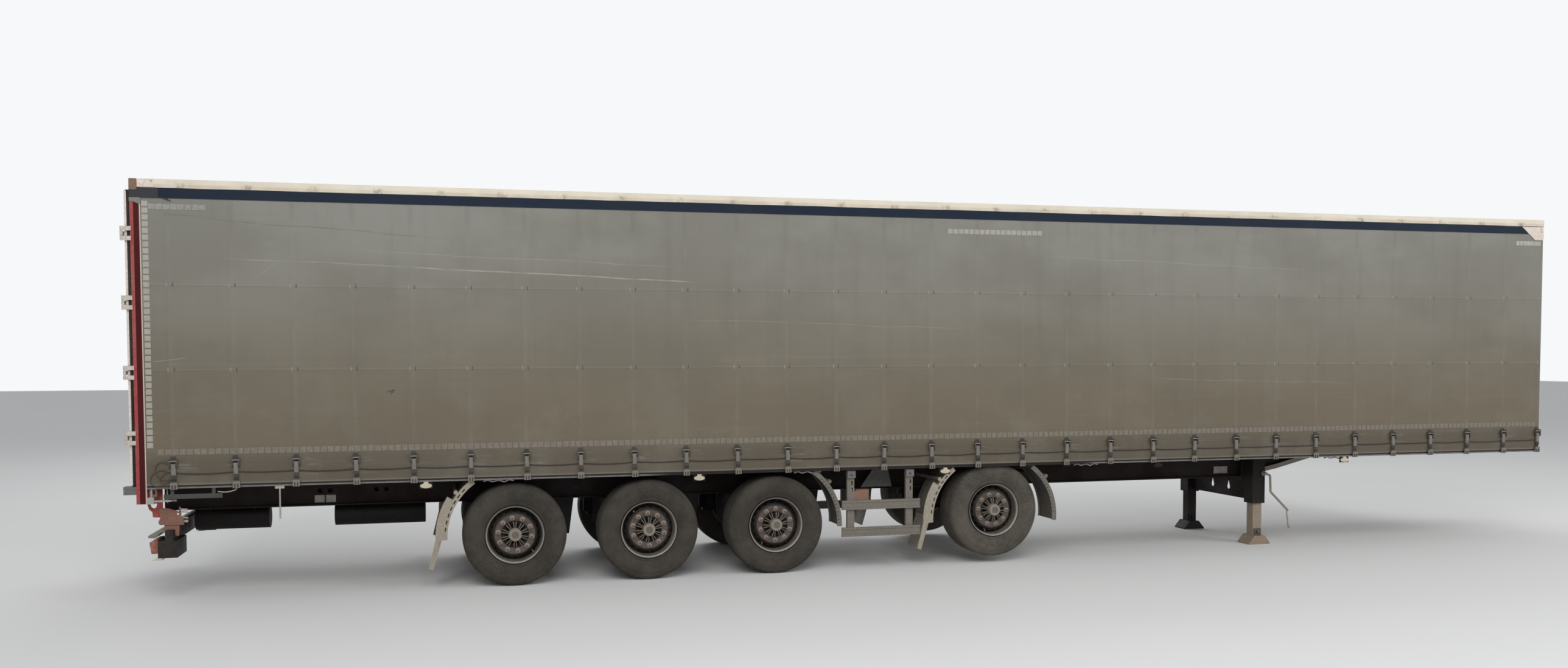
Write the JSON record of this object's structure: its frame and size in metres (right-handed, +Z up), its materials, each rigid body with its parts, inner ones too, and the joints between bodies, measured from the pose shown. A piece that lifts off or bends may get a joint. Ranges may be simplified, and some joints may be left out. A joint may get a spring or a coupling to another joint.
{
  "type": "semi trailer",
  "caption": "Curtain-sided semi trailer with a lifted axle, free wheels, hinged rear doors, landing legs and a kingpin.",
  "frame": {"origin": "On the ground, under the middle of the overall box.", "axes": "+X is forward, towards the kingpin and the front wall; +Y is the trailer's left; +Z is up."},
  "size_m": [16.17, 2.5672, 3.98],
  "materials": {
    "chassis_paint": "dusty dark maroon paint",
    "red_paint": "red paint, dark red in the shade",
    "rusty_steel": "rusty, dusty painted steel",
    "galvanised": "dull galvanised steel",
    "aluminium": "dull aluminium",
    "dusty_plastic": "dusty grey plastic",
    "white_panel": "cream white paint, dusty",
    "curtain_cloth": "coated cloth, dusty grey-beige",
    "roof_cloth": "cream coated cloth",
    "floor_wood": "dark plywood",
    "tyre_rubber": "dusty dark rubber",
    "rubber": "grey rubber",
    "lamp_lens": "pale and red lenses",
    "cable": "plastic covered wire rope"
  },
  "bodies": {
    "trailer": {"main_beam_right": "chassis_paint", "main_beam_left": "chassis_paint", "cross_members": "chassis_paint", "coupler_plate": "chassis_paint", "kingpin": "galvanised", "floor": "floor_wood", "side_rail_right": "galvanised", "side_rail_left": "galvanised", "front_frame": "white_panel", "headboard": "white_panel", "rear_frame": "red_paint", "dock_buffers": "rubber", "cantrail_right": "aluminium", "cantrail_left": "aluminium", "roof_bows": "aluminium", "roof_sheet": "roof_cloth", "curtain_right": "curtain_cloth", "curtain_left": "curtain_cloth", "buckles_right": "galvanised", "buckles_left": "galvanised", "customs_cable": "cable", "pillars": "galvanised", "axle_1": "chassis_paint", "axle_2": "chassis_paint", "axle_3": "chassis_paint", "axle_4": "chassis_paint", "mudguards_right": "dusty_plastic", "mudguards_left": "dusty_plastic", "side_guard_right": "aluminium", "side_guard_left": "aluminium", "landing_leg_right": "chassis_paint", "landing_leg_left": "chassis_paint", "leg_brace": "chassis_paint", "underrun_guard": "chassis_paint", "underrun_carriers": "red_paint", "tension_gear": "galvanised", "rail_hangers": "galvanised", "control_box": "dusty_plastic", "lamps": "lamp_lens", "air_tanks": "chassis_paint"},
    "roadwheel_1_right": {"tyre_1_right": "tyre_rubber", "wheel_1_right": "rusty_steel"},
    "roadwheel_1_left": {"tyre_1_left": "tyre_rubber", "wheel_1_left": "rusty_steel"},
    "roadwheel_2_right": {"tyre_2_right": "tyre_rubber", "wheel_2_right": "rusty_steel"},
    "roadwheel_2_left": {"tyre_2_left": "tyre_rubber", "wheel_2_left": "rusty_steel"},
    "roadwheel_3_right": {"tyre_3_right": "tyre_rubber", "wheel_3_right": "rusty_steel"},
    "roadwheel_3_left": {"tyre_3_left": "tyre_rubber", "wheel_3_left": "rusty_steel"},
    "roadwheel_4_right": {"tyre_4_right": "tyre_rubber", "wheel_4_right": "rusty_steel"},
    "roadwheel_4_left": {"tyre_4_left": "tyre_rubber", "wheel_4_left": "rusty_steel"},
    "right_door": {"door_right": "white_panel"},
    "left_door": {"door_left": "white_panel"}
  },
  "joints": [
    {"name": "wheel_1_right_spin", "type": "hinge", "parent": "trailer", "child": "roadwheel_1_right", "pos_m": [-4.518, -1.02, 0.52], "axis": [0, 1, 0], "continuous": true},
    {"name": "wheel_1_left_spin", "type": "hinge", "parent": "trailer", "child": "roadwheel_1_left", "pos_m": [-4.518, 1.02, 0.52], "axis": [0, 1, 0], "continuous": true},
    {"name": "wheel_2_right_spin", "type": "hinge", "parent": "trailer", "child": "roadwheel_2_right", "pos_m": [-3.158, -1.02, 0.52], "axis": [0, 1, 0], "continuous": true},
    {"name": "wheel_2_left_spin", "type": "hinge", "parent": "trailer", "child": "roadwheel_2_left", "pos_m": [-3.158, 1.02, 0.52], "axis": [0, 1, 0], "continuous": true},
    {"name": "wheel_3_right_spin", "type": "hinge", "parent": "trailer", "child": "roadwheel_3_right", "pos_m": [-1.798, -1.02, 0.52], "axis": [0, 1, 0], "continuous": true},
    {"name": "wheel_3_left_spin", "type": "hinge", "parent": "trailer", "child": "roadwheel_3_left", "pos_m": [-1.798, 1.02, 0.52], "axis": [0, 1, 0], "continuous": true},
    {"name": "wheel_4_right_spin", "type": "hinge", "parent": "trailer", "child": "roadwheel_4_right", "pos_m": [0.708, -1.02, 0.595], "axis": [0, 1, 0], "continuous": true},
    {"name": "wheel_4_left_spin", "type": "hinge", "parent": "trailer", "child": "roadwheel_4_left", "pos_m": [0.708, 1.02, 0.595], "axis": [0, 1, 0], "continuous": true},
    {"name": "right_door_hinge", "type": "hinge", "parent": "trailer", "child": "right_door", "pos_m": [-8.047, -1.262, 2.5], "axis": [0, 0, 1], "range_deg": [0, 265]},
    {"name": "left_door_hinge", "type": "hinge", "parent": "trailer", "child": "left_door", "pos_m": [-8.047, 1.262, 2.5], "axis": [0, 0, -1], "range_deg": [0, 265]}
  ]
}
